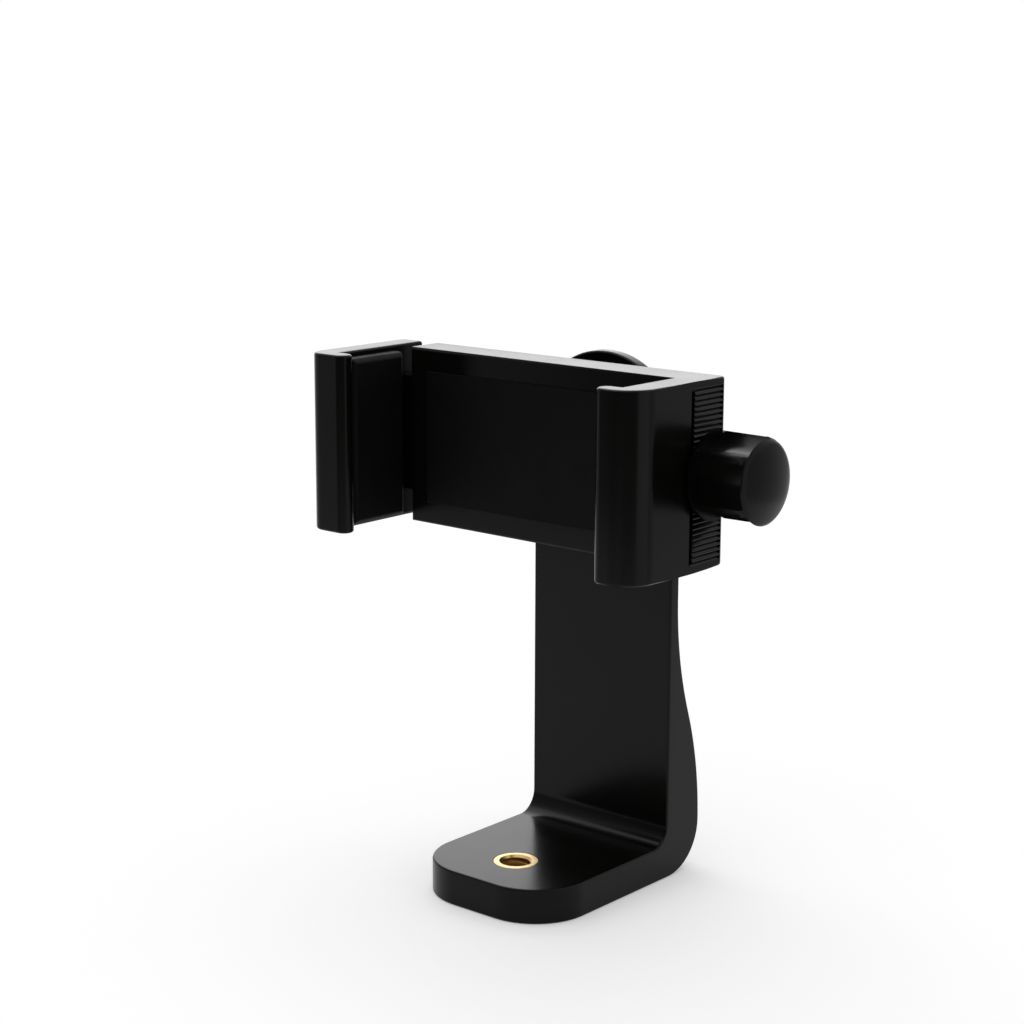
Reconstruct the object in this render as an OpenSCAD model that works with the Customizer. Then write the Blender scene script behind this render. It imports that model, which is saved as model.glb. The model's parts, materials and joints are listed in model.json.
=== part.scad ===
// Swivelling phone clamp on an L-shaped stand bracket.
// The origin is on the axis of the threaded insert, on the underside of the foot.
// +X points to the knob, +Y back to the arm and +Z up. All sizes are in millimetres.

/* [Foot] */
// Width of the foot and of the arm
bracket_w = 31.7; // [30:0.1:40]
// Thickness of the foot
foot_t = 6.4; // [5:0.1:9]
// Distance from the thread's axis to the front edge of the foot
foot_front = 11.5; // [9:0.5:16]
// Corner radius of the foot, seen from above
foot_corner_r = 11; // [3:0.5:14]
// Outer diameter of the threaded insert
insert_d = 8.1; // [7.4:0.1:10]
// Bore of the insert, the minor diameter of a 1/4-20 thread
thread_bore_d = 5.2; // [5:0.05:5.3]

/* [Arm] */
// Distance from the thread's axis back to the arm's front face
arm_front = 23.8; // [23:0.1:28]
// Thickness of the upper part of the arm
arm_t = 2.6; // [2.2:0.1:4]
// Thickness of the arm at its heel
heel_t = 10; // [9:0.5:13]
// Radius of the lower back edge of the heel
heel_r = 9; // [4:0.5:9]
// Height at which the flare of the heel has run out
flare_top = 52; // [45:1:60]
// Radius of the fillet between the foot and the arm
inner_r = 4; // [1:0.5:6]
// Height of the swivel axis above the underside
pivot_h = 80; // [74:1:110]

/* [Swivel] */
// Diameter of the boss on the arm
arm_boss_d = 28; // [24:0.5:30]
// Diameter of the turntable on the back of the clamp
turntable_d = 26; // [20:0.5:28]
// Length of the turntable behind the clamp
turntable_t = 5.5; // [5:0.1:6.5]
// Thickness of the friction washer
friction_t = 1; // [0.6:0.1:1.5]
// Shank diameter of the pivot bolt
bolt_d = 5; // [4:0.5:5]
// Head diameter of the pivot bolt
bolt_head_d = 9; // [8:0.1:10]
// Head height of the pivot bolt
bolt_head_t = 2.5; // [2:0.1:2.6]
// Width across the flats of the pivot nut
pivot_nut_af = 8; // [7:0.1:9]
// Thickness of the pivot nut
pivot_nut_t = 4; // [3:0.1:4]
// Outer diameter of the washers under the bolt head
washer_d = 11; // [10:0.1:12]
// Thickness of the flat washer
washer_t = 1; // [0.6:0.1:1.2]
// Thickness of the sheet of the disc spring
spring_t = 0.5; // [0.3:0.05:0.6]
// Height of the disc spring
spring_h = 1; // [0.8:0.05:1.1]
// Thickness of the cap over the bolt head
cap_t = 0.9; // [0.6:0.1:1]

/* [Jaws] */
// Height of the jaws and of the clamp body
jaw_h = 32; // [30:0.5:40]
// Distance from the thread's axis forward to the front of the jaws
jaw_reach = 13.2; // [11:0.1:18]
// Thickness of the front lips
lip_t = 3.5; // [2.5:0.1:4.5]
// Thickness of the jaw walls
jaw_wall = 4.9; // [4.5:0.1:6]
// Radius of the front corner of the fixed jaw
fixed_corner_r = 5.4; // [2:0.1:6]
// Radius of the front corner of the sliding jaw
sliding_corner_r = 3; // [1.5:0.1:6]
// Radius of the upright back edges
back_edge_r = 1.2; // [0.4:0.1:1.6]
// Distance from the swivel axis to the inner wall of the fixed jaw
fixed_x = 30.4; // [28:0.1:36]
// Opening between the pads as it stands
opening = 57; // [53:0.5:66]
// Thickness of the jaw pads
pad_t = 3.1; // [2:0.1:4]
// Margin above and below the jaw pads
pad_inset = 1; // [0.5:0.1:3]
// Bevel round the grip face of the jaw pads
pad_bevel = 0.8; // [0.3:0.1:1.2]
// How far a lip reaches past its pad
lip_over = 0.7; // [0.3:0.1:2]

/* [Clamp body] */
// Distance from the thread's axis back to the front face of the clamp body
body_front = 4; // [3:0.1:6]
// Thickness of the front wall over the channel
front_wall = 1.2; // [1:0.1:2]
// Depth of the channel for the tongue, front to back
channel_depth = 4.6; // [4.5:0.1:6]
// Thickness of the rear plate
rear_t = 2; // [1.8:0.1:3]
// Length of the solid end that carries the lead screw
bearing_len = 2.1; // [1.5:0.1:4]
// Thickness of the rear shell where it wraps the fixed jaw
wrap_t = 2.4; // [2:0.1:3]
// Distance from the thread's axis back to the parting line on the jaw
parting_y = 2.4; // [0:0.1:3]
// Width of the groove along the parting line
groove_w = 1; // [0.6:0.1:1.5]
// Depth of the groove along the parting line
groove_depth = 0.8; // [0.4:0.1:1.5]
// Margin above and below the groove
groove_margin = 1.5; // [1:0.1:4]
// Pitch of the grip ribs on the outer faces
rib_pitch = 0.9; // [0.8:0.05:2]
// Depth of the grip ribs
rib_depth = 0.35; // [0.2:0.05:0.6]
// Plain border round the grip ribs
rib_border = 1; // [0.6:0.1:3]
// Shank diameter of the cover screws
cover_screw_d = 2; // [1.6:0.1:2.4]
// Length of the cover screws
cover_screw_len = 6.4; // [5:0.1:7]
// Width of the rubber sheet on the front face
back_pad_w = 49; // [30:0.5:49]
// Height of the rubber sheet on the front face
back_pad_h = 24; // [12:0.5:28]
// Thickness of the rubber sheet on the front face
back_pad_t = 0.8; // [0.6:0.1:1.2]
// Depth to which the rubber sheet is let in
back_pad_seat = 0.4; // [0.2:0.05:0.4]

/* [Slider] */
// Height of the tongue on the sliding jaw
tongue_h = 21; // [16:0.5:22]
// How far the sliding jaw closes from its place here
close_travel = 4; // [1:0.5:6]
// How far the sliding jaw opens from its place here
open_travel = 27; // [10:0.5:27]
// Length of the slider nut
nut_len = 6; // [4:0.1:8]
// Width of the slider nut
nut_w = 8; // [7:0.1:10]
// Length of the solid end of the tongue
tongue_end_t = 3; // [2:0.1:5]

/* [Screw and knob] */
// Diameter of the lead screw
screw_d = 4; // [3:0.1:4]
// Depth of the clip's groove in the lead screw
clip_groove = 0.4; // [0.3:0.05:0.6]
// Thickness of the retaining clip
clip_t = 1; // [0.6:0.1:1.5]
// Width of the retaining clip
clip_w = 12; // [8:0.5:18]
// Length of the collar at the end of the lead screw
collar_len = 1.2; // [0.8:0.1:3]
// Width across the flats of the screw's head
screw_head_af = 7; // [6:0.1:7.2]
// Height of the screw's head
screw_head_t = 2.8; // [2:0.1:3.2]
// Diameter of the washer under the knob
knob_washer_d = 10; // [8:0.1:12]
// Thickness of the washer under the knob
knob_washer_t = 0.6; // [0.4:0.1:1]
// Diameter of the knob at its base
knob_base_d = 15.1; // [14.4:0.1:20]
// Diameter of the knob at its end
knob_end_d = 15; // [14:0.1:18]
// Length of the knob up to its domed end
knob_len = 9.3; // [7:0.1:14]
// Length of the plain flange at the base of the knob
knob_flange = 0.8; // [0.5:0.1:2]
// Number of finger recesses
recess_count = 5; // [3:1:6]
// Width of a finger recess
recess_w = 7.6; // [4:0.1:8]
// Distance from the knob's axis to the floor of a recess
recess_floor = 5.3; // [4.8:0.1:6]
// How far the recesses run into the shoulder of the domed end
recess_run = 1; // [0:0.1:1.4]
// Height of the domed end
dome_h = 2.4; // [2:0.1:6]
// Radius of the shoulder of the domed end
dome_shoulder_r = 1.5; // [0.5:0.1:1.8]

/* [Clearances] */
// Radial clearance of a running fit
run_gap = 0.05; // [0.02:0.01:0.1]
// Gap between pieces that are fastened together
seat_gap = 0.02; // [0.01:0.01:0.05]
// Gap on each side of the tongue
slide_gap = 0.1; // [0.05:0.01:0.3]
// Gap that keeps moving faces apart
free_gap = 0.3; // [0.2:0.05:0.6]

/* [Hidden] */
$fn = 96;
// Overshoot of a cutting shape past the face that it cuts
cut = 1;
// Facets of the wide arc of the knob's crown
wide_fn = 720;
// Margin all round between a washer and the edge of the face that it lies on
washer_margin = 1;

// Bracket
flare_rise = flare_top - heel_r;
flare_run = heel_t - arm_t;
flare_r = (flare_rise * flare_rise + flare_run * flare_run) / (4 * flare_run);
flare_angle = asin(flare_rise / (2 * flare_r));
flare_steps = 20;
arm_back = arm_front + arm_t;
heel_back = arm_front + heel_t;
insert_recess = 0.2;

// Clamp body, front to back
jaw_front = -jaw_reach;
lip_back = jaw_front + lip_t;
channel_y = body_front + front_wall;
channel_back = channel_y + channel_depth;
body_back = channel_back + rear_t;
screw_y = channel_y + channel_depth / 2;

// Clamp body, end to end
sliding_x = fixed_x - 2 * pad_t - opening;
fixed_outer = fixed_x + jaw_wall;
sliding_outer = sliding_x - jaw_wall;
end_gap = 0.1;
body_x0 = sliding_x + close_travel + end_gap;
bearing_x = fixed_x - bearing_len;
wrap_x = fixed_outer - wrap_t;

// Clamp body, top to bottom
z_low = pivot_h - jaw_h / 2;
z_high = pivot_h + jaw_h / 2;
channel_h = tongue_h + 2 * slide_gap;
tongue_y0 = channel_y + slide_gap;
tongue_t = channel_depth - 2 * slide_gap;

// Lead screw and slider
clip_x = bearing_x - clip_t - end_gap;
tongue_tip = clip_x - close_travel - free_gap;
nut_x1 = tongue_tip - tongue_end_t;
nut_x0 = nut_x1 - nut_len;
collar_x1 = nut_x0 - open_travel - end_gap;
screw_end = collar_x1 - collar_len;
slot_x0 = screw_end - close_travel - free_gap;
collar_d = tongue_t;
slot_h = collar_d + 2 * free_gap;

// Knob
knob_x0 = fixed_outer + knob_washer_t;
knob_x1 = knob_x0 + knob_len;
knob_tip = knob_x1 + dome_h;
head_pocket_t = screw_head_t + 2 * end_gap;
recess_sag = sqrt(pow(knob_end_d / 2, 2) - pow(recess_w / 2, 2)) - recess_floor;
recess_r = (pow(recess_w / 2, 2) + recess_sag * recess_sag) / (2 * recess_sag);
dome_rim = knob_end_d / 2;
dome_inner = dome_rim - dome_shoulder_r;
dome_crown_r = (dome_h * dome_h + dome_inner * dome_inner - dome_shoulder_r * dome_shoulder_r)
    / (2 * (dome_h - dome_shoulder_r));

// Swivel, front to back
turntable_y = body_back + turntable_t;
arm_boss_y = turntable_y + friction_t;
nut_pocket_t = pivot_nut_t + end_gap;
cap_y = arm_back - cap_t;
head_y = cap_y - bolt_head_t;
spring_y = head_y - spring_h;
washer_y = spring_y - washer_t;
bolt_tip_y = channel_back + end_gap;
cap_seat_d = washer_d + 2 * washer_margin;

// Cover screws
screw_head_d = 1.9 * cover_screw_d;
screw_head_h = 0.55 * cover_screw_d;
cover_screw_z = (channel_h + jaw_h) / 4;
cover_screw_inset = 6.5;

// Places children on the swivel axis at y, with their +Z pointing back
module on_pivot(y) {
    translate([0, y, pivot_h]) rotate([-90, 0, 0]) children();
}

// Places children on the lead screw's axis at x, with their +Z pointing to the knob
module on_screw(x) {
    translate([x, screw_y, pivot_h]) rotate([0, 90, 0]) children();
}

// Extrudes an outline drawn in Y and Z along X, from x0 to x1
module along_x(x0, x1) {
    translate([x0, 0, 0]) rotate([90, 0, 90]) linear_extrude(x1 - x0) children();
}

// Extrudes an outline drawn in X and Z along Y, from y0 to y1
module along_y(y0, y1) {
    translate([0, y1, 0]) rotate([90, 0, 0]) linear_extrude(y1 - y0) children();
}

// Extrudes an outline drawn in X and Y up from z0 to z1
module upright(z0, z1) {
    translate([0, 0, z0]) linear_extrude(z1 - z0) children();
}

// A rectangle from one corner to the other
module rect(x0, y0, x1, y1) {
    translate([x0, y0]) square([x1 - x0, y1 - y0]);
}

// A block from one corner to the other
module block(low, high) {
    translate(low) cube(high - low);
}

// A washer or tube on the local Z axis
module ring(outer_d, inner_d, length) {
    difference() {
        cylinder(d = outer_d, h = length);
        translate([0, 0, -cut]) cylinder(d = inner_d, h = length + 2 * cut);
    }
}

// A hexagonal prism on the local Z axis, with its flats facing local X
module hexagon(across_flats, length) {
    rotate([0, 0, 30]) cylinder(d = across_flats / cos(30), h = length, $fn = 6);
}

// Side outline of the heel: round at the bottom, then an S curve into the thin arm
module heel_outline() {
    angles = [for (i = [0 : flare_steps]) i * flare_angle / flare_steps];
    lower = [for (a = angles) [heel_back - flare_r * (1 - cos(a)), heel_r + flare_r * sin(a)]];
    upper = [for (a = angles) [arm_back + flare_r * (1 - cos(a)), flare_top - flare_r * sin(a)]];
    intersection() {
        rect(arm_front, 0, heel_back, heel_r);
        union() {
            rect(arm_front, 0, heel_back - heel_r, heel_r);
            translate([heel_back - heel_r, heel_r]) circle(heel_r);
        }
    }
    polygon(concat([[arm_front, heel_r]], lower,
                   [for (i = [flare_steps - 1 : -1 : 0]) upper[i]], [[arm_front, flare_top]]));
}

// Side outline of the bracket, in Y and Z
module bracket_outline() {
    rect(-foot_front, 0, arm_front, foot_t);
    rect(arm_front, flare_top, arm_back, pivot_h + bracket_w / 2);
    heel_outline();
    difference() {
        rect(arm_front - inner_r, foot_t, arm_front, foot_t + inner_r);
        translate([arm_front - inner_r, foot_t + inner_r]) circle(inner_r);
    }
}

// Outline of the foot from above, with its front corners rounded
module foot_plan() {
    half = bracket_w / 2;
    rect(-half, foot_corner_r - foot_front, half, heel_back);
    rect(foot_corner_r - half, -foot_front, half - foot_corner_r, heel_back);
    for (side = [-1, 1])
        translate([side * (half - foot_corner_r), foot_corner_r - foot_front])
            circle(foot_corner_r);
}

// Outline of the arm from the front, with a round top about the swivel axis
module arm_front_view() {
    rect(-bracket_w / 2, 0, bracket_w / 2, pivot_h);
    translate([0, pivot_h]) circle(d = bracket_w);
}

module bracket() {
    color([0.10, 0.10, 0.10])
    difference() {
        union() {
            intersection() {
                along_x(-bracket_w / 2, bracket_w / 2) bracket_outline();
                upright(0, pivot_h + bracket_w / 2) foot_plan();
                along_y(-foot_front, heel_back) arm_front_view();
            }
            on_pivot(arm_boss_y) cylinder(d = arm_boss_d, h = arm_back - arm_boss_y);
        }
        translate([0, 0, -cut])
            cylinder(d = insert_d + 2 * seat_gap, h = foot_t + 2 * cut);
        on_pivot(arm_boss_y - cut)
            cylinder(d = bolt_d + 2 * run_gap, h = arm_back - arm_boss_y + 2 * cut);
        on_pivot(washer_y)
            cylinder(d = cap_seat_d, h = arm_back - washer_y + cut);
    }
}

module thread_insert() {
    color([0.78, 0.62, 0.28])
    translate([0, 0, insert_recess])
        ring(insert_d, thread_bore_d, foot_t - insert_recess);
}

module pivot_cap() {
    color([0.10, 0.10, 0.10])
    on_pivot(cap_y) cylinder(d = cap_seat_d - 2 * seat_gap, h = cap_t);
}

module pivot_bolt() {
    socket_af = 0.4 * bolt_head_d;
    color([0.72, 0.72, 0.74])
    difference() {
        union() {
            on_pivot(bolt_tip_y) cylinder(d = bolt_d, h = head_y - bolt_tip_y + bolt_head_t / 2);
            on_pivot(head_y) cylinder(d = bolt_head_d, h = bolt_head_t);
        }
        on_pivot(head_y + bolt_head_t / 3) hexagon(socket_af, bolt_head_t);
    }
}

module pivot_washer() {
    color([0.70, 0.70, 0.72])
    on_pivot(washer_y) ring(washer_d, bolt_d + 6 * run_gap, washer_t);
}

// A coned disc, pressed flatter as the bolt is tightened
module disc_spring() {
    inner = bolt_d / 2 + 3 * run_gap;
    outer = bolt_head_d / 2;
    color([0.55, 0.56, 0.58])
    on_pivot(spring_y)
        rotate_extrude()
            polygon([[inner, spring_h - spring_t], [inner, spring_h], [outer, spring_t], [outer, 0]]);
}

module friction_washer() {
    color([0.16, 0.16, 0.16])
    on_pivot(turntable_y)
        ring(turntable_d - 2 * washer_margin, bolt_d + 6 * run_gap, friction_t);
}

module pivot_nut() {
    color([0.72, 0.72, 0.74])
    on_pivot(bolt_tip_y)
        difference() {
            hexagon(pivot_nut_af, pivot_nut_t);
            translate([0, 0, -cut]) cylinder(d = bolt_d + 2 * seat_gap, h = pivot_nut_t + 2 * cut);
        }
}

// Plan outline of a hooked jaw whose inner wall is at x = 0 and whose lip points to -X
module hook_plan(corner_r, y_end, back_r) {
    lip_x = -pad_t - lip_over;
    end_r = lip_t / 2;
    difference() {
        union() {
            rect(lip_x + end_r, jaw_front, jaw_wall - corner_r, y_end);
            rect(lip_x + end_r, jaw_front + corner_r, jaw_wall, y_end - back_r);
            rect(0, jaw_front + corner_r, jaw_wall - back_r, y_end);
            intersection() {
                rect(jaw_wall - corner_r, jaw_front, jaw_wall, jaw_front + 2 * corner_r);
                translate([jaw_wall - corner_r, jaw_front + corner_r]) circle(corner_r);
            }
            translate([lip_x + end_r, jaw_front + end_r]) circle(end_r);
            if (back_r > 0)
                translate([jaw_wall - back_r, y_end - back_r]) circle(back_r);
        }
        rect(lip_x - cut, lip_back, 0, y_end + cut);
    }
}

// The V grooves between the ribs, cut into a face at x = 0 that looks to +X
module rib_grooves(y0, y1) {
    first = z_low + rib_border;
    count = floor((jaw_h - 2 * rib_border) / rib_pitch);
    margin = (jaw_h - 2 * rib_border - count * rib_pitch) / 2;
    notch = 0.8 * rib_pitch;
    along_y(y0, y1)
        for (i = [0 : count - 1])
            translate([0, first + margin + (i + 0.5) * rib_pitch])
                polygon([[cut, -notch / 2], [0, -notch / 2], [-rib_depth, 0], [0, notch / 2], [cut, notch / 2]]);
}

// Centres of the four cover screws, in X and Z
module at_cover_screws() {
    for (x = [body_x0 + cover_screw_inset, bearing_x - cover_screw_inset])
        for (side = [-1, 1])
            translate([x, 0, pivot_h + side * cover_screw_z]) children();
}

// Front shell: fixed jaw, front wall, rails beside the channel and the screw's bearing
module clamp_front() {
    color([0.12, 0.12, 0.12])
    difference() {
        union() {
            upright(z_low, z_high) translate([fixed_x, 0]) hook_plan(fixed_corner_r, parting_y, 0);
            block([body_x0, body_front, z_low], [wrap_x - seat_gap, channel_back, z_high]);
            block([fixed_x, parting_y - cut, z_low], [wrap_x - seat_gap, body_front + cut, z_high]);
        }
        block([body_x0 - cut, channel_y, pivot_h - channel_h / 2],
              [bearing_x, channel_back + cut, pivot_h + channel_h / 2]);
        on_screw(bearing_x - cut) cylinder(d = screw_d + 2 * run_gap, h = fixed_outer);
        block([-back_pad_w / 2 - seat_gap, body_front - cut, pivot_h - back_pad_h / 2 - seat_gap],
              [back_pad_w / 2 + seat_gap, body_front + back_pad_seat, pivot_h + back_pad_h / 2 + seat_gap]);
        at_cover_screws()
            translate([0, body_back - cover_screw_len - end_gap, 0]) rotate([-90, 0, 0])
                cylinder(d = cover_screw_d + 2 * seat_gap, h = cover_screw_len);
        block([fixed_outer - groove_depth, parting_y - groove_w / 2, z_low + groove_margin],
              [fixed_outer + cut, parting_y + cut, z_high - groove_margin]);
    }
}

// Rear shell: back plate, the wrap round the fixed jaw with its ribs, and the turntable
module clamp_rear() {
    color([0.12, 0.12, 0.12])
    difference() {
        union() {
            upright(z_low, z_high) {
                rect(body_x0, channel_back + seat_gap, fixed_outer - back_edge_r, body_back);
                rect(wrap_x, parting_y + seat_gap, fixed_outer, body_back - back_edge_r);
                translate([fixed_outer - back_edge_r, body_back - back_edge_r]) circle(back_edge_r);
            }
            on_pivot(body_back - cut) cylinder(d = turntable_d, h = turntable_t + cut);
        }
        on_screw(wrap_x - cut) cylinder(d = screw_d + 2 * run_gap, h = fixed_outer);
        on_pivot(channel_back - cut) cylinder(d = bolt_d + 2 * seat_gap, h = turntable_y);
        on_pivot(channel_back - cut)
            hexagon(pivot_nut_af + 2 * seat_gap, cut + end_gap + nut_pocket_t);
        at_cover_screws()
            translate([0, body_back, 0]) rotate([90, 0, 0]) {
                translate([0, 0, -cut]) cylinder(d = cover_screw_d + 4 * run_gap, h = body_back);
                translate([0, 0, -cut]) cylinder(d = screw_head_d + 2 * run_gap, h = cut + end_gap);
                translate([0, 0, end_gap])
                    cylinder(d1 = screw_head_d + 2 * run_gap, d2 = cover_screw_d + 2 * run_gap, h = screw_head_h);
            }
        block([fixed_outer - groove_depth, parting_y - cut, z_low + groove_margin],
              [fixed_outer + cut, parting_y + groove_w / 2, z_high - groove_margin]);
        difference() {
            translate([fixed_outer, 0, 0])
                rib_grooves(parting_y + groove_w / 2 - cut / 2, body_back - rib_border);
            on_screw(wrap_x) cylinder(d = knob_washer_d + 2 * washer_margin, h = fixed_outer);
        }
    }
}

// Four countersunk screws that hold the two shells together
module cover_screws() {
    slot_w = 0.3 * cover_screw_d;
    slot_l = 1.1 * cover_screw_d;
    color([0.35, 0.35, 0.37])
    at_cover_screws()
        translate([0, body_back - end_gap, 0]) rotate([90, 0, 0])
            difference() {
                union() {
                    cylinder(d1 = screw_head_d, d2 = cover_screw_d, h = screw_head_h);
                    cylinder(d = cover_screw_d, h = cover_screw_len - end_gap - seat_gap);
                }
                for (turn = [0, 90])
                    rotate([0, 0, turn])
                        translate([-slot_l / 2, -slot_w / 2, -cut]) cube([slot_l, slot_w, cut + 0.6 * screw_head_h]);
            }
}

// A rubber pad whose grip face is bevelled all round, on a wall that faces -X at x = 0
module jaw_pad() {
    y0 = lip_back + seat_gap;
    y1 = body_front - free_gap;
    z0 = z_low + pad_inset;
    z1 = z_high - pad_inset;
    intersection() {
        upright(z0, z1)
            polygon([[0, y0], [-pad_t + pad_bevel, y0], [-pad_t, y0 + pad_bevel],
                     [-pad_t, y1 - pad_bevel], [-pad_t + pad_bevel, y1], [0, y1]]);
        along_y(y0, y1)
            polygon([[0, z0], [-pad_t + pad_bevel, z0], [-pad_t, z0 + pad_bevel],
                     [-pad_t, z1 - pad_bevel], [-pad_t + pad_bevel, z1], [0, z1]]);
    }
}

module fixed_jaw_pad() {
    color([0.07, 0.07, 0.07])
    translate([fixed_x, 0, 0]) jaw_pad();
}

module sliding_jaw_pad() {
    color([0.07, 0.07, 0.07])
    translate([sliding_x, 0, 0]) mirror([1, 0, 0]) jaw_pad();
}

module back_pad() {
    color([0.07, 0.07, 0.07])
    translate([0, body_front + back_pad_seat - back_pad_t, pivot_h])
        block([-back_pad_w / 2, 0, -back_pad_h / 2], [back_pad_w / 2, back_pad_t, back_pad_h / 2]);
}

// Sliding jaw with the slotted tongue that runs in the channel
module sliding_jaw() {
    color([0.12, 0.12, 0.12])
    difference() {
        union() {
            translate([sliding_x, 0, 0]) mirror([1, 0, 0])
                upright(z_low, z_high) hook_plan(sliding_corner_r, body_back, back_edge_r);
            block([sliding_x - cut, tongue_y0, pivot_h - tongue_h / 2],
                  [tongue_tip, tongue_y0 + tongue_t, pivot_h + tongue_h / 2]);
        }
        block([slot_x0, tongue_y0 - cut, pivot_h - slot_h / 2],
              [nut_x0 + cut, tongue_y0 + tongue_t + cut, pivot_h + slot_h / 2]);
        block([nut_x0 - seat_gap, tongue_y0 - cut, pivot_h - nut_w / 2 - seat_gap],
              [nut_x1 + seat_gap, tongue_y0 + tongue_t + cut, pivot_h + nut_w / 2 + seat_gap]);
        on_screw(nut_x1 - cut)
            cylinder(d = screw_d + 2 * slide_gap, h = tongue_end_t + 2 * cut);
        block([sliding_outer - cut, parting_y - groove_w / 2, z_low + groove_margin],
              [sliding_outer + groove_depth, parting_y + groove_w / 2, z_high - groove_margin]);
        translate([sliding_outer, 0, 0]) mirror([1, 0, 0])
            rib_grooves(parting_y + groove_w / 2 - cut / 2, body_back - rib_border);
    }
}

module slider_nut() {
    color([0.78, 0.62, 0.28])
    difference() {
        block([nut_x0, tongue_y0, pivot_h - nut_w / 2], [nut_x1, tongue_y0 + tongue_t, pivot_h + nut_w / 2]);
        on_screw(nut_x0 - cut) cylinder(d = screw_d + 2 * run_gap, h = nut_len + 2 * cut);
    }
}

// Lead screw: hexagon head in the knob's socket, groove for the clip, collar at the free end
module lead_screw() {
    groove_d = screw_d - 2 * clip_groove;
    color([0.72, 0.72, 0.74])
    difference() {
        union() {
            on_screw(knob_x0 + end_gap) hexagon(screw_head_af, screw_head_t);
            on_screw(screw_end) cylinder(d = screw_d, h = knob_x0 + end_gap + cut - screw_end);
            on_screw(screw_end) cylinder(d = collar_d, h = collar_len);
        }
        on_screw(clip_x - end_gap)
            ring(2 * screw_d, groove_d, clip_t + 2 * end_gap);
    }
}

// Horseshoe clip that sits in the screw's groove against the bearing
module retaining_clip() {
    notch_d = screw_d - 2 * clip_groove + 2 * run_gap;
    color([0.60, 0.61, 0.63])
    difference() {
        block([clip_x, tongue_y0, pivot_h - clip_w / 2], [clip_x + clip_t, tongue_y0 + tongue_t, pivot_h + clip_w / 2]);
        on_screw(clip_x - cut) cylinder(d = notch_d, h = clip_t + 2 * cut);
        block([clip_x - cut, tongue_y0 - cut, pivot_h - notch_d / 2],
              [clip_x + clip_t + cut, screw_y, pivot_h + notch_d / 2]);
    }
}

module knob_washer() {
    color([0.72, 0.72, 0.74])
    on_screw(fixed_outer) ring(knob_washer_d, screw_d + 2 * run_gap, knob_washer_t);
}

// Outline of the knob's domed end, in radius and height: a crown that runs into a round shoulder
module dome_outline() {
    intersection() {
        rect(0, 0, dome_rim, dome_h);
        union() {
            intersection() {
                translate([0, dome_h - dome_crown_r]) circle(dome_crown_r, $fn = wide_fn);
                rect(0, 0, dome_inner * dome_crown_r / (dome_crown_r - dome_shoulder_r), dome_h);
            }
            translate([dome_inner, 0]) circle(dome_shoulder_r);
        }
    }
}

// Thumb knob: finger recesses between a plain flange and a whole domed cap, a socket for the screw's head
module knob() {
    color([0.12, 0.12, 0.12])
    difference() {
        union() {
            on_screw(knob_x0) cylinder(d1 = knob_base_d, d2 = knob_end_d, h = knob_len);
            on_screw(knob_x1) rotate_extrude() dome_outline();
        }
        for (i = [0 : recess_count - 1])
            on_screw(knob_x0 + knob_flange)
                rotate([0, 0, -90 + i * 360 / recess_count])
                    translate([recess_floor + recess_r, 0, 0])
                        cylinder(r = recess_r, h = knob_len - knob_flange + recess_run);
        on_screw(knob_x0 - cut)
            hexagon(screw_head_af + 2 * seat_gap, cut + head_pocket_t);
    }
}

bracket();
thread_insert();
pivot_cap();
pivot_bolt();
pivot_washer();
disc_spring();
friction_washer();
pivot_nut();
clamp_front();
clamp_rear();
cover_screws();
fixed_jaw_pad();
back_pad();
sliding_jaw();
sliding_jaw_pad();
slider_nut();
lead_screw();
retaining_clip();
knob_washer();
knob();
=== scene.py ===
import json
import math

import bmesh
import bpy
from bpy.props import FloatProperty, FloatVectorProperty, IntProperty, PointerProperty
from mathutils import Matrix, Vector

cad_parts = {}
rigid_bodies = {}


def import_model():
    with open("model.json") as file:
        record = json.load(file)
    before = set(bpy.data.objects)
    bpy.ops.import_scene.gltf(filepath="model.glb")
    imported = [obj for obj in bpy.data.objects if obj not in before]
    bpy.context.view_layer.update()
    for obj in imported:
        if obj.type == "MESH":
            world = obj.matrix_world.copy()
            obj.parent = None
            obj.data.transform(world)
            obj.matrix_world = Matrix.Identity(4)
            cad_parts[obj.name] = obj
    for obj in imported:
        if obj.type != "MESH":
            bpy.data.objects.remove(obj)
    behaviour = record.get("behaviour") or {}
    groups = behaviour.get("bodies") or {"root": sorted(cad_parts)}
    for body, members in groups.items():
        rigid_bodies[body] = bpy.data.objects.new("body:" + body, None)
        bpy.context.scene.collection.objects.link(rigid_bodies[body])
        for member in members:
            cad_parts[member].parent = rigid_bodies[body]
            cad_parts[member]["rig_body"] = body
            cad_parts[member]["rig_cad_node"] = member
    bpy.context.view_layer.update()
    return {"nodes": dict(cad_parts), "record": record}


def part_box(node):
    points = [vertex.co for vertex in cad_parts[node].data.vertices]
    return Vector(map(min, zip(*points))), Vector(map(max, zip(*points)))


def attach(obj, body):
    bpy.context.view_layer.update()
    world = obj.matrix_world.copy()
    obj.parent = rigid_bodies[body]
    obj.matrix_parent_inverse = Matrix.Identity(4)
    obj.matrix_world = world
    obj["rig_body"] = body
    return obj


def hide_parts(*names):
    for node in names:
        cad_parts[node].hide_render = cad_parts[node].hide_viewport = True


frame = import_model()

bl_info = {
    "name": "Phone holder",
    "version": (1, 0, 0),
    "blender": (4, 5, 0),
    "location": "View3D > Sidebar > Phone holder",
    "description": "Finished pieces, materials, stage and camera for a phone clamp on a stand bracket",
    "category": "Object",
}

MM = 0.001

# Places that several pieces share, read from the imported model
FOOT_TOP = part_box("thread_insert")[1].z
FOOT_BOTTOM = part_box("bracket")[0].z
JAW_LOW, JAW_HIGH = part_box("clamp_rear")[0].z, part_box("clamp_rear")[1].z
SWIVEL_Z = (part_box("pivot_cap")[0].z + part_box("pivot_cap")[1].z) / 2
SCREW_Y = (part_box("knob_washer")[0].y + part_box("knob_washer")[1].y) / 2

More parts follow.
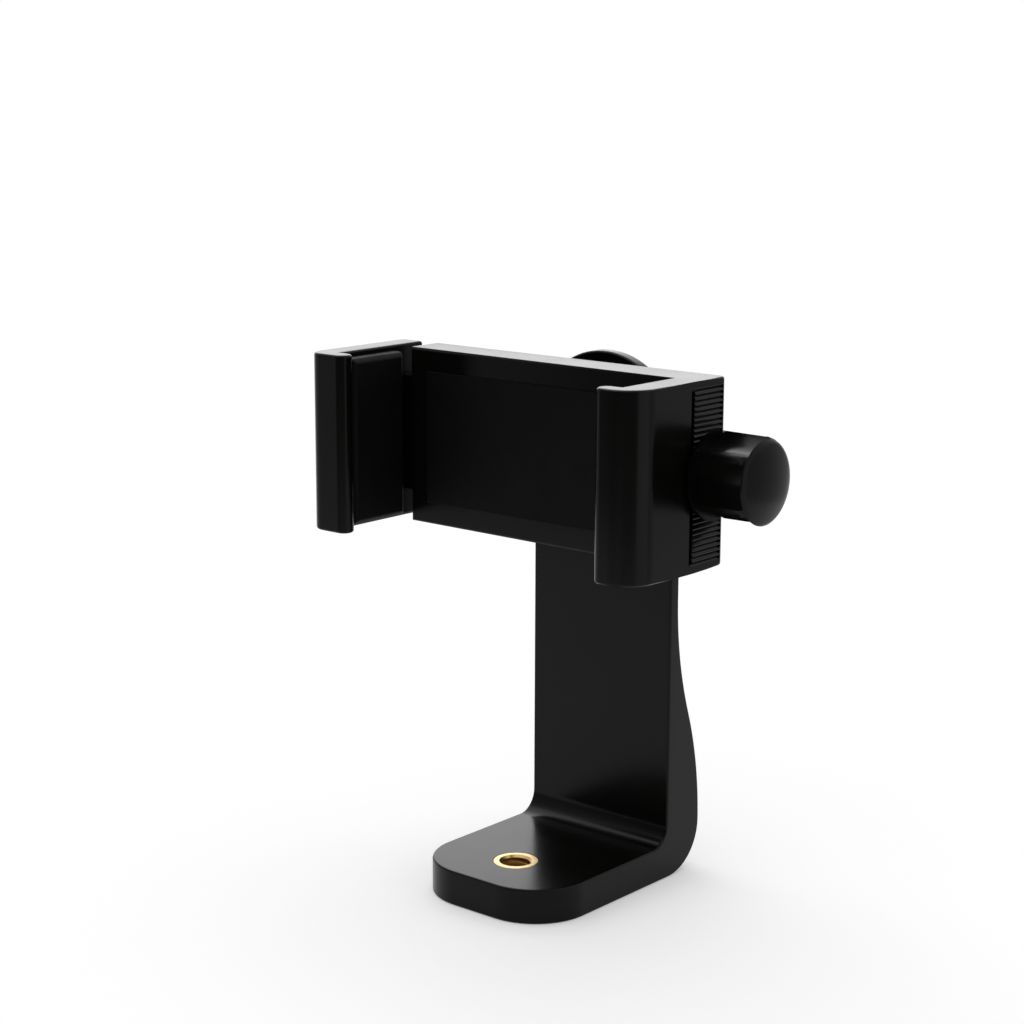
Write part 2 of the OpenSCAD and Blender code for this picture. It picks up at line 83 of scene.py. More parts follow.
# Light of the world on matt surfaces, and of the lamp overhead, of which a white floor shows about a third
DAYLIGHT = 0.5
SUN_STRENGTH = 1.0
# Radiance of the soft box, where 1 is white
BOX_RADIANCE = 1.55
# Light that the floor adds to make up white, and its size, which runs out of every view
FLOOR_GLOW = 0.3
FLOOR_SIZE = 40.0

# Faces that meet at more than this angle have an edge between them
CREASE = math.radians(28)
# Vertices closer than this are one vertex
SAME_POINT = 0.001 * MM


def linear(code, alpha=1.0):
    """The linear colour of an sRGB hex code."""
    channels = [int(code[i:i + 2], 16) / 255 for i in (0, 2, 4)]
    return [c / 12.92 if c <= 0.04045 else ((c + 0.055) / 1.055) ** 2.4 for c in channels] + [alpha]


class MouldingSizes(bpy.types.PropertyGroup):
    """Edges and surface of the moulded pieces."""

    bracket_edge: FloatProperty(
        name="Bracket edge", description="Radius of the bracket's outer edges",
        default=0.5 * MM, min=0.1 * MM, max=0.8 * MM, unit="LENGTH", precision=5)
    shell_edge: FloatProperty(
        name="Jaw edge", description="Radius of the outer edges of the jaws and shells",
        default=0.5 * MM, min=0.1 * MM, max=0.6 * MM, unit="LENGTH", precision=5)
    fine_edge: FloatProperty(
        name="Fine edge", description="Radius of the edges of holes, grooves and hidden steps",
        default=0.12 * MM, min=0.05 * MM, max=0.15 * MM, unit="LENGTH", precision=5)
    knob_edge: FloatProperty(
        name="Knob edge", description="Radius of the ridges between the knob's finger recesses",
        default=0.45 * MM, min=0.1 * MM, max=0.8 * MM, unit="LENGTH", precision=5)
    rib_edge: FloatProperty(
        name="Rib edge", description="Radius of the edges of the grip ribs",
        default=0.08 * MM, min=0.02 * MM, max=0.1 * MM, unit="LENGTH", precision=5)
    plastic: FloatVectorProperty(
        name="Plastic", description="Colour of the moulded plastic",
        subtype="COLOR", size=4, min=0, max=1, default=linear("080807"))
    rubber: FloatVectorProperty(
        name="Rubber", description="Colour of the rubber pads",
        subtype="COLOR", size=4, min=0, max=1, default=linear("0A0A0A"))


class MetalSizes(bpy.types.PropertyGroup):
    """Threads and colours of the metal pieces."""

    insert_pitch: FloatProperty(
        name="Insert pitch", description="Pitch of the 1/4-20 thread in the insert",
        default=1.27 * MM, unit="LENGTH", precision=5)
    insert_major: FloatProperty(
        name="Insert major diameter", description="Major diameter of the 1/4-20 thread",
        default=6.35 * MM, unit="LENGTH", precision=5)
    screw_pitch: FloatProperty(
        name="Screw pitch", description="Pitch of the M4 lead screw",
        default=0.7 * MM, unit="LENGTH", precision=5)
    bolt_pitch: FloatProperty(
        name="Bolt pitch", description="Pitch of the M5 pivot bolt",
        default=0.8 * MM, unit="LENGTH", precision=5)
    thread_steps: IntProperty(
        name="Thread steps", description="Facets in one turn of a thread",
        default=40, min=16, max=64)
    brass: FloatVectorProperty(
        name="Brass", description="Colour of the turned brass",
        subtype="COLOR", size=4, min=0, max=1, default=linear("D1B481"))
    zinc: FloatVectorProperty(
        name="Zinc", description="Colour of the zinc plating",
        subtype="COLOR", size=4, min=0, max=1, default=linear("B9BBC0"))
    black_oxide: FloatVectorProperty(
        name="Black oxide", description="Colour of the blackened screws",
        subtype="COLOR", size=4, min=0, max=1, default=linear("2A2A2C"))


class StageSizes(bpy.types.PropertyGroup):
    """Floor, light and camera."""

    floor: FloatVectorProperty(
        name="Floor", description="Colour of the floor",
        subtype="COLOR", size=4, min=0, max=1, default=linear("F4F4F4"))
    azimuth: FloatProperty(
        name="Azimuth", description="Direction of the camera, to the right of straight ahead",
        default=math.radians(40.283), subtype="ANGLE")
    elevation: FloatProperty(
        name="Elevation", description="How far the camera looks down",
        default=math.radians(11.677), subtype="ANGLE")
    roll: FloatProperty(
        name="Roll", description="Tilt of the camera about its own line of sight",
        default=math.radians(0.177), subtype="ANGLE")
    lens: FloatProperty(
        name="Lens", description="Focal length on a 36 mm sensor, in millimetres",
        default=78.56)
    camera: FloatVectorProperty(
        name="Camera", description="Place of the camera",
        subtype="TRANSLATION", size=3, default=(244.485 * MM, -289.824 * MM, 148.446 * MM))


def settings(name):
    """One of the scene's groups of sizes."""
    return getattr(bpy.context.scene, name)


# Materials

def add_node(tree, kind, sockets=None, **properties):
    """Adds a node, sets its properties, and sets or links its sockets."""
    node = tree.nodes.new(kind)
    for name, value in properties.items():
        setattr(node, name, value)
    for name, value in (sockets or {}).items():
        if isinstance(value, bpy.types.NodeSocket):
            tree.links.new(value, node.inputs[name])
        else:
            node.inputs[name].default_value = value
    return node


def new_material(name, colour, **sockets):
    """A material and its tree, shader and object coordinates, with values on the shader's own sockets."""
    material = bpy.data.materials.new(name)
    material.use_nodes = True
    tree = material.node_tree
    shader = tree.nodes["Principled BSDF"]
    shader.inputs["Base Color"].default_value = colour
    for socket, value in sockets.items():
        shader.inputs[socket.replace("_", " ")].default_value = value
    place = add_node(tree, "ShaderNodeTexCoord").outputs["Object"]
    return material, tree, shader, place


def wanders(tree, place, size, low, high, detail=3.0):
    """A value that wanders between low and high over patches of about that size."""
    noise = add_node(tree, "ShaderNodeTexNoise", {"Vector": place, "Scale": 1 / size, "Detail": detail})
    return add_node(tree, "ShaderNodeMapRange", {
        "Value": noise.outputs["Fac"], "From Min": 0.3, "From Max": 0.7, "To Min": low, "To Max": high,
    }).outputs["Result"]


def bumped(tree, shader, height, depth):
    """Gives the shader a bump of that depth from a height that runs from 0 to 1."""
    bump = add_node(tree, "ShaderNodeBump", {"Height": height, "Distance": depth, "Strength": 1.0})
    tree.links.new(bump.outputs["Normal"], shader.inputs["Normal"])


def moulded_abs():
    """Injection-moulded ABS from a spark-eroded mould: a satin black with a very fine grain."""
    sizes = settings("moulding_sizes")
    material, tree, shader, place = new_material(
        "moulded_abs", sizes.plastic, IOR=1.5, Specular_IOR_Level=0.13)
    # The real grain is about 0.05 mm across, and is drawn at 0.35 mm so that it shows
    grain = add_node(tree, "ShaderNodeTexNoise", {"Vector": place, "Scale": 1 / (0.35 * MM), "Detail": 2.0})
    bumped(tree, shader, grain.outputs["Fac"], 0.004 * MM)
    # Flow of the melt leaves patches of slightly different gloss
    tree.links.new(wanders(tree, place, 14 * MM, 0.19, 0.24), shader.inputs["Roughness"])
    return material


def soft_rubber():
    """Moulded silicone rubber: matt, darker than the plastic, with a dull sheen at grazing angles."""
    sizes = settings("moulding_sizes")
    material, tree, shader, place = new_material(
        "soft_rubber", sizes.rubber, IOR=1.43, Specular_IOR_Level=0.1)
    # Talc grain of the mould, drawn at 0.3 mm
    grain = add_node(tree, "ShaderNodeTexNoise", {"Vector": place, "Scale": 1 / (0.3 * MM), "Detail": 3.0})
    bumped(tree, shader, grain.outputs["Fac"], 0.008 * MM)
    tree.links.new(wanders(tree, place, 5 * MM, 0.5, 0.62), shader.inputs["Roughness"])
    return material


def black_nylon():
    """Cut nylon washer: smooth and slightly waxy."""
    material, tree, shader, place = new_material(
        "black_nylon", linear("121213"), IOR=1.53, Specular_IOR_Level=0.4)
    tree.links.new(wanders(tree, place, 2 * MM, 0.3, 0.42), shader.inputs["Roughness"])
    return material


def turning_lines(tree, place, centre, tilt, spacing):
    """The tool marks of a lathe, as rings round an axis through centre, that far apart."""
    turned = add_node(tree, "ShaderNodeMapping", {
        "Vector": place, "Location": -(Matrix.Rotation(tilt[1], 3, "Y") @ Matrix.Rotation(tilt[0], 3, "X") @ centre),
        "Rotation": (tilt[0], tilt[1], 0.0),
    })
    # A wave texture draws one band every 20 units of its scale over 2 pi
    return add_node(tree, "ShaderNodeTexWave", {
        "Vector": turned.outputs["Vector"], "Scale": math.pi / (10 * spacing), "Distortion": 0.3,
        "Detail": 1.0, "Detail Scale": 1.0,
    }, wave_type="RINGS", rings_direction="Z").outputs["Fac"]


def turned_brass():
    """Free-cutting brass straight from the lathe: warm yellow, bright, with fine tool marks."""
    sizes = settings("metal_sizes")
    material, tree, shader, place = new_material("turned_brass", sizes.brass, Metallic=1.0)
    # Tool marks are about 0.05 mm apart, and are drawn at 0.2 mm
    marks = turning_lines(tree, place, Vector((0, 0, 0)), (0.0, 0.0), 0.2 * MM)
    bumped(tree, shader, marks, 0.003 * MM)
    tree.links.new(wanders(tree, place, 1.5 * MM, 0.28, 0.38), shader.inputs["Roughness"])
    return material


def zinc_plate():
    """Steel with bright zinc plating: a cool grey with faint cloudy patches."""
    sizes = settings("metal_sizes")
    material, tree, shader, place = new_material("zinc_plate", sizes.zinc, Metallic=1.0)
    cloud = wanders(tree, place, 2.5 * MM, 0.0, 1.0)
    tint = add_node(tree, "ShaderNodeMix", {"Factor": cloud}, data_type="RGBA")
    tint.inputs["A"].default_value = linear("AEB1B8")
    tint.inputs["B"].default_value = linear("C6C4B8")
    tree.links.new(tint.outputs["Result"], shader.inputs["Base Color"])
    tree.links.new(wanders(tree, place, 1.2 * MM, 0.24, 0.36), shader.inputs["Roughness"])
    return material


def black_oxide():
    """Steel screws blackened in a hot bath: dark metal with a slight oily shine."""
    sizes = settings("metal_sizes")
    material, tree, shader, place = new_material("black_oxide", sizes.black_oxide, Metallic=1.0)
    tree.links.new(wanders(tree, place, 0.8 * MM, 0.34, 0.5), shader.inputs["Roughness"])
    return material


FINISHES = {
    "black_abs": moulded_abs,
    "black_rubber": soft_rubber,
    "black_nylon": black_nylon,
    "brass": turned_brass,
    "zinc_steel": zinc_plate,
    "black_screws": black_oxide,
}


def give_finish(piece, slot):
    """Puts the finish of a material slot on a piece, made the first time that it is asked for."""
    name = "finish_" + slot
    material = bpy.data.materials.get(name)
    if material is None:
        material = FINISHES[slot]()
        material.name = name
    piece.data.materials.clear()
    piece.data.materials.append(material)
    piece.data.polygons.foreach_set("material_index", [0] * len(piece.data.polygons))


# Modelling

def activate(piece):
    """Makes a piece the one selected and active object."""
    if bpy.context.object is not None and bpy.context.object.mode != "OBJECT":
        bpy.ops.object.mode_set(mode="OBJECT")
    bpy.ops.object.select_all(action="DESELECT")
    bpy.context.view_layer.objects.active = piece
    piece.select_set(True)


def named(name):
    """Names the active object and its mesh, and returns it."""
    piece = bpy.context.object
    piece.name = name
    piece.data.name = name
    return piece


def solid_copy(node, name):
    """A copy of a CAD node as one clean mesh: doubles merged, and flat faces joined again."""
    activate(frame["nodes"][node])
    bpy.ops.object.duplicate()
    bpy.ops.object.parent_clear(type="CLEAR_KEEP_TRANSFORM")
    piece = named(name)
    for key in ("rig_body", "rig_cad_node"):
        del piece[key]
    bpy.ops.object.mode_set(mode="EDIT")
    bpy.ops.mesh.select_all(action="SELECT")
    bpy.ops.mesh.remove_doubles(threshold=SAME_POINT)
    bpy.ops.mesh.dissolve_limited(angle_limit=math.radians(0.2))
    bpy.ops.mesh.customdata_custom_splitnormals_clear()
    bpy.ops.object.mode_set(mode="OBJECT")
    return piece


def round_edges(piece, radius, chosen, segments=3):
    """Rounds the creased edges that chosen picks by their two ends."""
    activate(piece)
    bpy.ops.object.mode_set(mode="EDIT")
    bpy.ops.mesh.select_mode(type="EDGE")
    bpy.ops.mesh.select_all(action="DESELECT")
    shape = bmesh.from_edit_mesh(piece.data)
    picked = 0
    for edge in shape.edges:
        if edge.is_manifold and edge.calc_face_angle(0) > CREASE and chosen(*[v.co for v in edge.verts]):
            edge.select_set(True)
            picked += 1
    bmesh.update_edit_mesh(piece.data)
    if not picked:
        raise RuntimeError(f"no edge of {piece.name} was picked to be rounded")
    bpy.ops.mesh.bevel(offset=radius, offset_type="OFFSET", segments=segments, profile=0.5,
                       affect="EDGES", clamp_overlap=False, loop_slide=True)
    bpy.ops.mesh.select_all(action="SELECT")
    bpy.ops.mesh.remove_doubles(threshold=SAME_POINT)
    bpy.ops.object.mode_set(mode="OBJECT")


def smooth(piece):
    """Smooths the shading across rounded edges and keeps flat faces flat."""
    activate(piece)
    bpy.ops.object.shade_smooth_by_angle(angle=CREASE)
    modifier = piece.modifiers.new("flat_faces", "WEIGHTED_NORMAL")
    modifier.keep_sharp = True
    modifier.weight = 80
    bpy.ops.object.modifier_apply(modifier=modifier.name)


def finish_piece(piece, node, slot):
    """Shades a piece, gives it its finish, and lets it stand for its CAD node on that node's body."""
    smooth(piece)
    give_finish(piece, slot)
    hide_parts(node)
    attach(piece, body_of(node))


def body_of(node):
    """The CAD body that a node belongs to."""
    return next(b for b, nodes in frame["record"]["behaviour"]["bodies"].items() if node in nodes)


def near(value, places, reach=0.06 * MM):
    """Is a value at one of these places?"""
    return any(abs(value - p) < reach for p in places)


def rib_crests(outer):
    """Picks the edges of the grip ribs on a jaw whose outer face is at that x."""
    def chosen(a, b):
        inside = JAW_LOW + 1 * MM < a.z < JAW_HIGH - 1 * MM
        return inside and near(a.x, [outer]) and near(b.x, [outer]) and abs(a.y - b.y) > 0.9 * (a - b).length
    return chosen


def along_axis(a, b, centre, axis, radius):
    """Do both ends of an edge lie within that radius of an axis through centre?"""
    line = Vector(axis)
    return all((p - centre - (p - centre).dot(line) * line).length < radius for p in (a, b))


def cut_thread(piece, start, axis, root, depth, pitch, turns, inner=False):
    """Cuts a right-handed thread with 60 degree flanks and a sharp root at that radius, along an axis from start."""
    reach = depth / 1.5
    side = 1 if inner else -1
    point = Matrix.Rotation(side * math.pi / 2, 3, "Y") @ Matrix.Rotation(math.pi / 2, 3, "X")
    bpy.ops.object.select_all(action="DESELECT")
    bpy.ops.mesh.primitive_circle_add(vertices=3, radius=reach, fill_type="NOTHING",
                                      location=(root - side * reach, 0, 0), rotation=point.to_euler())
    cutter = named(piece.name + "_thread")
    bpy.ops.object.transform_apply(location=True, rotation=True, scale=True)
    sweep = cutter.modifiers.new("sweep", "SCREW")
    sweep.screw_offset = pitch
    sweep.iterations = turns
    sweep.steps = sweep.render_steps = settings("metal_sizes").thread_steps
    sweep.use_smooth_shade = False
    bpy.ops.object.modifier_apply(modifier=sweep.name)
    bpy.ops.object.mode_set(mode="EDIT")
    bpy.ops.mesh.select_all(action="SELECT")
    bpy.ops.mesh.fill_holes(sides=3)
    bpy.ops.mesh.normals_make_consistent(inside=False)
    bpy.ops.object.mode_set(mode="OBJECT")
    cutter.rotation_euler = {"X": (0, math.pi / 2, 0), "Y": (-math.pi / 2, 0, 0), "Z": (0, 0, 0)}[axis]
    cutter.location = start
    bpy.ops.object.transform_apply(location=True, rotation=True, scale=True)
    activate(piece)
    cut = piece.modifiers.new("thread", "BOOLEAN")
    cut.operation = "DIFFERENCE"
    cut.solver = "EXACT"
    cut.object = cutter
    bpy.ops.object.modifier_apply(modifier=cut.name)
    activate(cutter)
    bpy.ops.object.delete()


class PieceOperator:
    """What the operators of the pieces share."""

    bl_options = {"REGISTER", "UNDO"}


class PHONE_HOLDER_OT_bracket(PieceOperator, bpy.types.Operator):
    """Foot, heel and arm of the stand, moulded in one piece"""

    bl_idname = "phone_holder.bracket"
    bl_label = "Bracket"

    def execute(self, context):
        sizes = settings("moulding_sizes")
        piece = solid_copy("bracket", "bracket_moulding")
        pivot = Vector((0, 0, SWIVEL_Z))
        boss = 14.3 * MM
        insert_hole = 4.3 * MM

        def in_a_hole(a, b):
            return along_axis(a, b, pivot, (0, 1, 0), boss) or along_axis(a, b, Vector(), (0, 0, 1), insert_hole)

        round_edges(piece, sizes.bracket_edge, lambda a, b: not in_a_hole(a, b))
        boss_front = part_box("friction_washer")[1].y
        round_edges(piece, sizes.fine_edge, lambda a, b: along_axis(a, b, pivot, (0, 1, 0), boss)
                    and near(a.y, [boss_front]) and near(b.y, [boss_front]), segments=2)
        finish_piece(piece, "bracket", "black_abs")
        return {"FINISHED"}


class PHONE_HOLDER_OT_clamp_shells(PieceOperator, bpy.types.Operator):
    """Front and rear shell of the clamp, with the fixed jaw, its grip ribs and the turntable"""

    bl_idname = "phone_holder.clamp_shells"
    bl_label = "Clamp shells"

    def execute(self, context):
        sizes = settings("moulding_sizes")
        front = solid_copy("clamp_front", "clamp_front_shell")
        jaw_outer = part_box("clamp_rear")[1].x
        groove_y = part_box("clamp_rear")[0].y
        left_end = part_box("clamp_front")[0].x
        front_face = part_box("back_pad")[1].y - 0.4 * MM
        plate_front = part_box("clamp_front")[1].y

        def ends(a, b):
            return near(a.z, [JAW_LOW, JAW_HIGH]) and near(b.z, [JAW_LOW, JAW_HIGH])

        def front_edges(a, b):
            ahead = max(a.y, b.y) < groove_y - 0.3 * MM and ends(a, b)
            left = near(a.x, [left_end]) and near(b.x, [left_end]) and near(a.y, [front_face]) and near(b.y, [front_face])
            wall = near(a.y, [front_face]) and near(b.y, [front_face]) and ends(a, b)
            return ahead or left or wall

        round_edges(front, sizes.shell_edge, front_edges)
        finish_piece(front, "clamp_front", "black_abs")

        rear = solid_copy("clamp_rear", "clamp_rear_shell")
        plate_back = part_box("cover_screws")[1].y + 0.1 * MM
        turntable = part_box("clamp_rear")[1].y

        def rear_edges(a, b):
            if near(a.y, [plate_back]) and near(b.y, [plate_back]):
                sides = [left_end, jaw_outer]
                return ends(a, b) or (near(a.x, sides) and near(b.x, sides))
            return ends(a, b) and min(a.x, b.x) > jaw_outer - 1.3 * MM and min(a.y, b.y) > groove_y + 0.3 * MM

        round_edges(rear, sizes.shell_edge, rear_edges)
        round_edges(rear, sizes.fine_edge, lambda a, b: near(a.y, [turntable]) and near(b.y, [turntable]), segments=2)
        round_edges(rear, sizes.rib_edge, rib_crests(jaw_outer), segments=2)
        finish_piece(rear, "clamp_rear", "black_abs")
        return {"FINISHED"}


class PHONE_HOLDER_OT_sliding_jaw(PieceOperator, bpy.types.Operator):
    """Sliding jaw with its lip, grip ribs and tongue"""

    bl_idname = "phone_holder.sliding_jaw"
    bl_label = "Sliding jaw"

    def execute(self, context):
        sizes = settings("moulding_sizes")
        piece = solid_copy("sliding_jaw", "sliding_jaw_moulding")

        def ends(a, b):
            return near(a.z, [JAW_LOW, JAW_HIGH]) and near(b.z, [JAW_LOW, JAW_HIGH])

        round_edges(piece, sizes.shell_edge, ends)
        round_edges(piece, sizes.rib_edge, rib_crests(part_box("sliding_jaw")[0].x), segments=2)
        finish_piece(piece, "sliding_jaw", "black_abs")
        return {"FINISHED"}


class PHONE_HOLDER_OT_knob(PieceOperator, bpy.types.Operator):
    """Thumb knob with five finger recesses and a domed end"""

    bl_idname = "phone_holder.knob"
    bl_label = "Knob"

    def execute(self, context):
        sizes = settings("moulding_sizes")
        piece = solid_copy("knob", "knob_moulding")
        axis_point = Vector((0, SCREW_Y, SWIVEL_Z))
        socket = 4.4 * MM
        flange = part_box("knob")[0].x
        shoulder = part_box("knob")[1].x - 2.3 * MM

        def ridges(a, b):
            lengthwise = abs(a.x - b.x) > 0.3 * (a - b).length and max(a.x, b.x) < shoulder
            return lengthwise and not along_axis(a, b, axis_point, (1, 0, 0), socket)

        round_edges(piece, sizes.knob_edge, ridges, segments=4)
        round_edges(piece, sizes.fine_edge, lambda a, b: near(a.x, [flange]) and near(b.x, [flange])
                    and not along_axis(a, b, axis_point, (1, 0, 0), socket), segments=2)
        finish_piece(piece, "knob", "black_abs")
        return {"FINISHED"}


class PHONE_HOLDER_OT_insert(PieceOperator, bpy.types.Operator):
    """Brass insert with its 1/4-20 thread"""

    bl_idname = "phone_holder.insert"
    bl_label = "Thread insert"

    def execute(self, context):
        sizes = settings("metal_sizes")
        piece = solid_copy("thread_insert", "brass_insert")
        bore = 2.8 * MM
        up = Vector((0, 0, 1))
        round_edges(piece, 0.4 * MM, lambda a, b: along_axis(a, b, Vector(), up, bore), segments=1)
        round_edges(piece, 0.15 * MM, lambda a, b: not along_axis(a, b, Vector(), up, 3.3 * MM))
        # The groove runs to a sharp root, so it goes a little deeper than the major diameter
        cut_thread(piece, Vector((0, 0, FOOT_BOTTOM - 1.3 * MM)), "Z", sizes.insert_major / 2 + 0.08 * MM,
                   0.75 * MM, sizes.insert_pitch, 7, inner=True)
        finish_piece(piece, "thread_insert", "brass")
        return {"FINISHED"}


class PHONE_HOLDER_OT_lead_screw(PieceOperator, bpy.types.Operator):
    """Lead screw with its M4 thread between the collar and the clip"""

    bl_idname = "phone_holder.lead_screw"
    bl_label = "Lead screw"

    def execute(self, context):
        sizes = settings("metal_sizes")
        piece = solid_copy("lead_screw", "threaded_spindle")
        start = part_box("lead_screw")[0].x + 1.6 * MM
        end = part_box("retaining_clip")[0].x - 1.0 * MM
        round_edges(piece, 0.12 * MM, lambda a, b: min(a.x, b.x) > end + 3 * MM or max(a.x, b.x) < start - 0.2 * MM,
                    segments=2)
        turns = int((end - start) / sizes.screw_pitch)
        cut_thread(piece, Vector((start, SCREW_Y, SWIVEL_Z)), "X", 1.58 * MM, 0.58 * MM, sizes.screw_pitch, turns)
        finish_piece(piece, "lead_screw", "zinc_steel")
        return {"FINISHED"}


class PHONE_HOLDER_OT_pivot_bolt(PieceOperator, bpy.types.Operator):
    """M5 socket-head bolt of the swivel, threaded at its tip"""

    bl_idname = "phone_holder.pivot_bolt"
    bl_label = "Pivot bolt"

    def execute(self, context):
        sizes = settings("metal_sizes")
        piece = solid_copy("pivot_bolt", "swivel_bolt")
        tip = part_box("pivot_bolt")[0].y
        round_edges(piece, 0.2 * MM, lambda a, b: True)
        cut_thread(piece, Vector((0, tip - 1.2 * MM, SWIVEL_Z)), "Y", 2.02 * MM, 0.66 * MM, sizes.bolt_pitch, 8)
        finish_piece(piece, "pivot_bolt", "zinc_steel")
        return {"FINISHED"}


class PHONE_HOLDER_OT_small_pieces(PieceOperator, bpy.types.Operator):
    """Pads, washers, nuts, cap, clip and cover screws, with their edges rounded"""

    bl_idname = "phone_holder.small_pieces"
    bl_label = "Small pieces"

    def execute(self, context):
        slots = {row["node"]: row["material_slot"] for row in frame["record"]["subparts"]}
        for node, (name, radius) in SMALL_PIECES.items():
            piece = solid_copy(node, name)
            round_edges(piece, radius, lambda a, b: True, segments=2)
            finish_piece(piece, node, slots[node])
        return {"FINISHED"}


class PHONE_HOLDER_OT_hidden_nodes(PieceOperator, bpy.types.Operator):
    """Finishes of the CAD nodes, which the finished pieces stand for"""

    bl_idname = "phone_holder.hidden_nodes"
    bl_label = "CAD nodes"

    def execute(self, context):
        for row in frame["record"]["subparts"]:
            give_finish(frame["nodes"][row["node"]], row["material_slot"])
        return {"FINISHED"}


class PHONE_HOLDER_OT_stage(bpy.types.Operator):
    """Floor, soft light and the camera"""

    bl_idname = "phone_holder.stage"
    bl_label = "Stage"

    def execute(self, context):
        sizes = settings("stage_sizes")
        scene = context.scene
        scene.view_settings.view_transform = "Standard"
        self.make_world(scene)
        self.make_floor(sizes)
        self.make_lamps()
        self.make_card("left_card", 205, 0.3, 0.28, 0.3, 0.55)
        self.make_card("front_card", 255, 0.3, 0.28, 0.4, 0.12)
        self.make_card("camera_card", 310, 0.3, 0.35, 0.4, 0.15)
        self.make_card("side_card", 48, 0.24, 0.28, 0.13, 0.55)
        self.make_camera(scene, sizes)
        return {"FINISHED"}

    def make_world(self, scene):
        """A white world to the eye and in reflections, and a soft even light for everything else."""
        world = bpy.data.worlds.new("studio")
        world.use_nodes = True
        tree = world.node_tree
        background = tree.nodes["Background"]
        background.inputs["Color"].default_value = (1, 1, 1, 1)
        strength = add_node(tree, "ShaderNodeMapRange", {
            "Value": self.seen_ray(tree), "To Min": DAYLIGHT, "To Max": 1.0})
        tree.links.new(strength.outputs["Result"], background.inputs["Strength"])
        scene.world = world

    def seen_ray(self, tree):
        """1 for a ray of the camera, of a reflection or through glass, and 0 for light on a matt surface."""
        rays = add_node(tree, "ShaderNodeLightPath").outputs
        seen = add_node(tree, "ShaderNodeMath", {0: rays["Is Camera Ray"], 1: rays["Is Glossy Ray"]},
                        operation="MAXIMUM")
        return add_node(tree, "ShaderNodeMath", {0: seen.outputs[0], 1: rays["Is Transmission Ray"]},
                        operation="MAXIMUM").outputs[0]

    def make_floor(self, sizes):
        """A pale floor that runs out into the white world and keeps the object's soft shadow."""
        bpy.ops.mesh.primitive_plane_add(size=FLOOR_SIZE, location=(0, 0, FOOT_BOTTOM))
        floor = named("floor")
        material, tree, shader, place = new_material(
            "pale_floor", sizes.floor, Roughness=0.9, Specular_IOR_Level=0.0)
        shader.inputs["Emission Color"].default_value = (1, 1, 1, 1)
        glow = add_node(tree, "ShaderNodeMath", {0: self.seen_ray(tree), 1: FLOOR_GLOW}, operation="MULTIPLY")
        tree.links.new(glow.outputs[0], shader.inputs["Emission Strength"])
        floor.data.materials.append(material)
        bpy.ops.object.transform_apply(location=True, rotation=True, scale=True)

    def make_lamps(self):
        """An even soft light from above and behind, and a soft box behind that only reflections show."""
        bpy.ops.object.light_add(type="SUN", location=(-0.3, 0.2, 1.0))
        sun = named("ceiling_light")
        sun.data.energy = SUN_STRENGTH
        sun.data.angle = math.radians(60)
        bpy.ops.object.light_add(type="AREA", location=(-0.64, 0.72, 0.5))
        box = named("soft_box")
        box.data.shape = "RECTANGLE"
        box.data.size = 0.9
        box.data.size_y = 0.6
        box.data.energy = BOX_RADIANCE * math.pi * box.data.size * box.data.size_y
        box.visible_camera = False
        box.visible_diffuse = False
        for lamp in (sun, box):
            aim = Vector((0, 0, SWIVEL_Z)) - lamp.location
            lamp.rotation_euler = aim.to_track_quat("-Z", "Y").to_euler()

    def make_card(self, name, bearing, distance, width, height, grey):
        """A dark card that stands on the floor at a bearing from +X, faces the object and shows in reflections only."""
        away = Matrix.Rotation(math.radians(bearing), 3, "Z") @ Vector((distance, 0, 0))
        bpy.ops.mesh.primitive_plane_add(size=1, location=away + Vector((0, 0, FOOT_BOTTOM + height / 2)))
        card = named(name)
        card.scale = (width, height, 1)
        card.rotation_euler = away.to_track_quat("-Z", "Y").to_euler()
        bpy.ops.object.transform_apply(location=True, rotation=True, scale=True)
        material, tree, shader, place = new_material(name, (0, 0, 0, 1), Specular_IOR_Level=0.0, Roughness=1.0)
        shader.inputs["Emission Color"].default_value = (1, 1, 1, 1)
        shader.inputs["Emission Strength"].default_value = grey
        card.data.materials.append(material)
        for ray in ("camera", "diffuse", "transmission", "volume_scatter", "shadow"):
            setattr(card, "visible_" + ray, False)

    def make_camera(self, scene, sizes):
        """The camera at the photograph's place and angle."""
        bpy.ops.object.camera_add(location=sizes.camera)
        camera = named("camera")
        camera.data.sensor_width = 36.0
        camera.data.lens = sizes.lens
        camera.data.clip_start = 10 * MM
        turn = Matrix.Rotation(sizes.azimuth, 4, "Z") @ Matrix.Rotation(math.pi / 2 - sizes.elevation, 4, "X")
        camera.rotation_euler = (turn @ Matrix.Rotation(sizes.roll, 4, "Z")).to_euler()
        scene.camera = camera


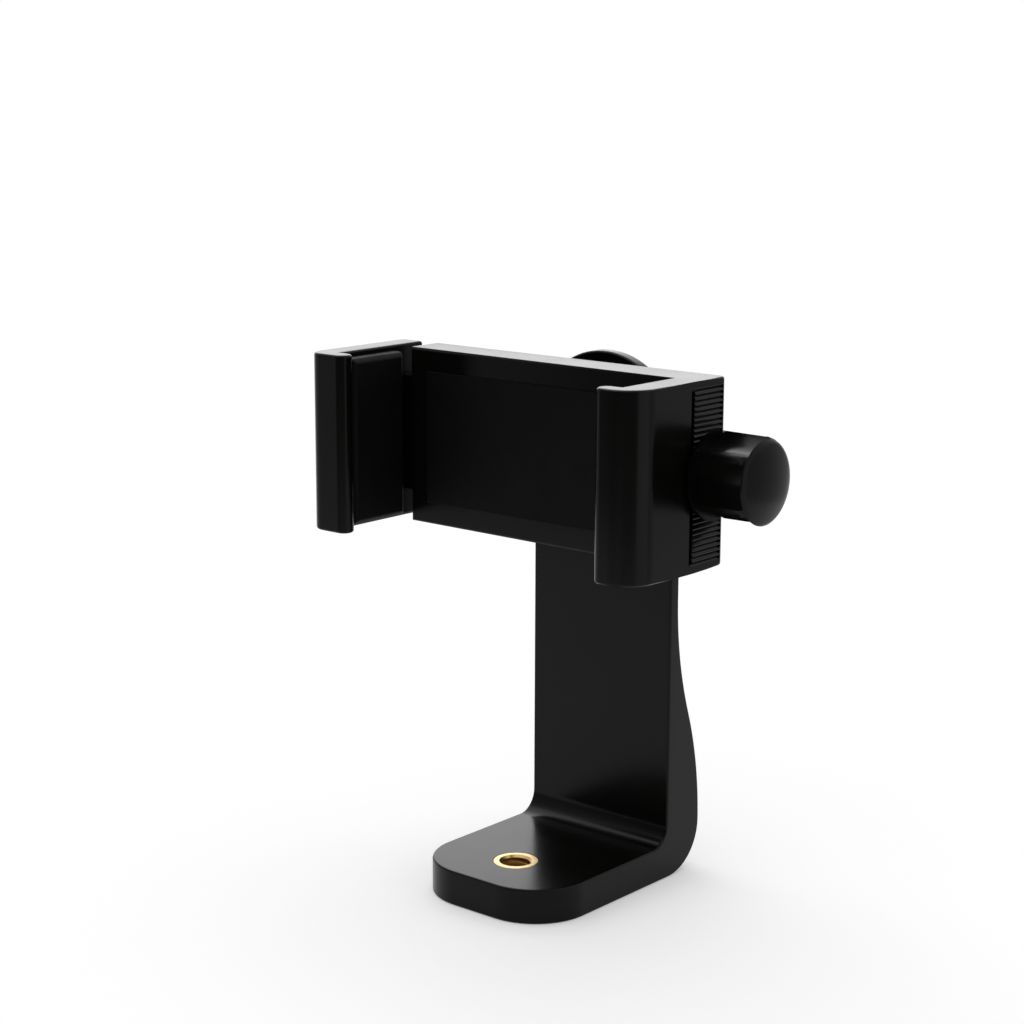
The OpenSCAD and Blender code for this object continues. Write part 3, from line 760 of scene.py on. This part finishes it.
class PHONE_HOLDER_PT_panel(bpy.types.Panel):
    """Lists the pieces and their sizes"""

    bl_idname = "PHONE_HOLDER_PT_panel"
    bl_label = "Phone holder"
    bl_space_type = "VIEW_3D"
    bl_region_type = "UI"
    bl_category = "Phone holder"

    def draw(self, context):
        for name in GROUPS:
            box = self.layout.box()
            for prop in getattr(context.scene, name).bl_rna.properties:
                if prop.identifier not in {"rna_type", "name"}:
                    box.prop(getattr(context.scene, name), prop.identifier)
        for operator in OPERATORS:
            self.layout.operator(operator.bl_idname)


# The finished piece that stands for each small node, and the radius of its edges
SMALL_PIECES = {
    "pivot_cap": ("swivel_cap", 0.2 * MM),
    "pivot_washer": ("swivel_washer", 0.1 * MM),
    "disc_spring": ("coned_spring", 0.08 * MM),
    "friction_washer": ("nylon_friction_washer", 0.1 * MM),
    "pivot_nut": ("swivel_nut", 0.2 * MM),
    "cover_screws": ("countersunk_screws", 0.07 * MM),
    "fixed_jaw_pad": ("right_pad", 0.25 * MM),
    "back_pad": ("rear_pad", 0.15 * MM),
    "sliding_jaw_pad": ("left_pad", 0.25 * MM),
    "slider_nut": ("block_nut", 0.1 * MM),
    "retaining_clip": ("horseshoe_clip", 0.08 * MM),
    "knob_washer": ("thrust_washer", 0.1 * MM),
}

GROUPS = {"moulding_sizes": MouldingSizes, "metal_sizes": MetalSizes, "stage_sizes": StageSizes}

OPERATORS = (
    PHONE_HOLDER_OT_stage,
    PHONE_HOLDER_OT_bracket,
    PHONE_HOLDER_OT_clamp_shells,
    PHONE_HOLDER_OT_sliding_jaw,
    PHONE_HOLDER_OT_knob,
    PHONE_HOLDER_OT_insert,
    PHONE_HOLDER_OT_lead_screw,
    PHONE_HOLDER_OT_pivot_bolt,
    PHONE_HOLDER_OT_small_pieces,
    PHONE_HOLDER_OT_hidden_nodes,
)


def register():
    for group in (*GROUPS.values(), *OPERATORS, PHONE_HOLDER_PT_panel):
        bpy.utils.register_class(group)
    for name, group in GROUPS.items():
        setattr(bpy.types.Scene, name, PointerProperty(type=group))


def unregister():
    for name in GROUPS:
        delattr(bpy.types.Scene, name)
    for group in reversed((*GROUPS.values(), *OPERATORS, PHONE_HOLDER_PT_panel)):
        bpy.utils.unregister_class(group)


def main():
    """Makes every piece in turn."""
    register()
    for operator in OPERATORS:
        category, name = operator.bl_idname.split(".")
        getattr(getattr(bpy.ops, category), name)()


if __name__ == "__main__":
    main()
